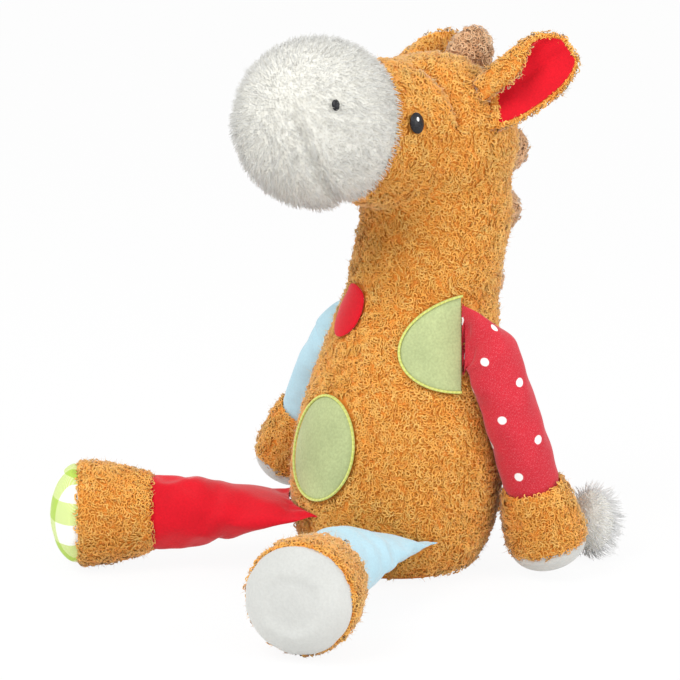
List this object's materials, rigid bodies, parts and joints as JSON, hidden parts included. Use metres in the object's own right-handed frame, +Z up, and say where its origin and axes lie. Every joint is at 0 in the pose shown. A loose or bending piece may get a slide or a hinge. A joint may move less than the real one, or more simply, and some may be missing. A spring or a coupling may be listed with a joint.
{
  "type": "plush dog toy",
  "caption": "Seated plush animal for dogs: curly fleece body, round long-pile muzzle, patchwork arms and legs that swing at their seams, soft ears, mane and tail.",
  "frame": {"origin": "centre of the flat seat under the torso, on the floor", "axes": "+Z up, the toy faces -Y, its left side is +X"},
  "size_m": [0.2291, 0.2423, 0.2607],
  "materials": {
    "fleece": "curly pile",
    "white_pile": "long soft pile",
    "mane_pile": "curly pile",
    "red_velour": "short nap",
    "dotted_velour": "short nap with white dots",
    "blue_velour": "short nap",
    "green_velour": "short nap",
    "white_velour": "short nap",
    "checked_cotton": "woven check",
    "edging_thread": "satin stitch",
    "dark_thread": "satin stitch",
    "fibre": "loose fibre",
    "squeaker_plastic": "moulded"
  },
  "bodies": {
    "torso": {"torso_front_panel": "fleece", "torso_back_panel": "fleece", "torso_front_stuffing": "fibre", "torso_back_stuffing": "fibre", "squeaker_bulb": "squeaker_plastic", "squeaker_reed": "squeaker_plastic", "belly_patch": "green_velour", "belly_patch_edging": "edging_thread", "shoulder_patch": "green_velour", "shoulder_patch_edging": "edging_thread", "chest_patch": "red_velour", "mane_tuft_back": "mane_pile"},
    "head": {"head_left_panel": "fleece", "head_right_panel": "fleece", "head_stuffing": "fibre", "muzzle_cover": "white_pile", "muzzle_stuffing": "fibre", "mane_tuft_head_1": "mane_pile", "mane_tuft_head_2": "mane_pile", "mane_tuft_head_3": "mane_pile", "mane_tuft_nape": "mane_pile", "left_eye": "dark_thread", "right_eye": "dark_thread", "left_nostril": "dark_thread", "right_nostril": "dark_thread"},
    "left_ear": {"left_ear_back": "fleece", "left_ear_lining": "red_velour"},
    "right_ear": {"right_ear_back": "fleece", "right_ear_lining": "red_velour"},
    "left_arm": {"left_sleeve": "dotted_velour", "left_arm_stuffing": "fibre", "left_hand": "fleece", "left_palm": "white_velour"},
    "right_arm": {"right_sleeve": "blue_velour", "right_arm_stuffing": "fibre", "right_hand": "fleece", "right_palm": "white_velour"},
    "left_leg_body": {"left_leg": "blue_velour", "left_leg_stuffing": "fibre", "left_foot": "fleece", "left_sole": "white_velour"},
    "right_leg_body": {"right_leg": "red_velour", "right_leg_stuffing": "fibre", "right_foot": "fleece", "right_sole": "checked_cotton"},
    "tail": {"tail_cord": "fleece", "tail_tuft": "white_pile"}
  },
  "joints": [
    {"name": "neck_nod", "type": "hinge", "parent": "torso", "child": "head", "pos_m": [0, 0.018, 0.136], "axis": [1, 0, 0], "range_deg": [-8, 9], "stiffness_Nm_per_rad": 1},
    {"name": "left_ear_flop", "type": "hinge", "parent": "head", "child": "left_ear", "pos_m": [0.0373, 0.03386, 0.23079], "axis": [0.5337, 0.2923, -0.7936], "range_deg": [-20, 20], "stiffness_Nm_per_rad": 0.05},
    {"name": "right_ear_flop", "type": "hinge", "parent": "head", "child": "right_ear", "pos_m": [-0.0373, 0.03386, 0.23079], "axis": [0.5321, -0.2893, 0.7958], "range_deg": [-20, 20], "stiffness_Nm_per_rad": 0.05},
    {"name": "left_arm_lift", "type": "hinge", "parent": "torso", "child": "left_arm", "pos_m": [0.036, 0.008, 0.1415], "axis": [0, -1, 0], "range_deg": [0, 110]},
    {"name": "right_arm_lift", "type": "hinge", "parent": "torso", "child": "right_arm", "pos_m": [-0.036, 0.008, 0.1415], "axis": [0, 1, 0], "range_deg": [0, 80]},
    {"name": "left_leg_swing", "type": "hinge", "parent": "torso", "child": "left_leg_body", "pos_m": [0.03261, -0.04256, 0.0272], "axis": [-0.8202, -0.5721, 0], "range_deg": [-70, 55]},
    {"name": "right_leg_swing", "type": "hinge", "parent": "torso", "child": "right_leg_body", "pos_m": [-0.03261, -0.04256, 0.0272], "axis": [-0.8202, 0.5721, 0], "range_deg": [-70, 55]},
    {"name": "tail_swing", "type": "hinge", "parent": "torso", "child": "tail", "pos_m": [0, 0.05499, 0.022], "axis": [0, 0, 1], "range_deg": [0, 110]}
  ]
}
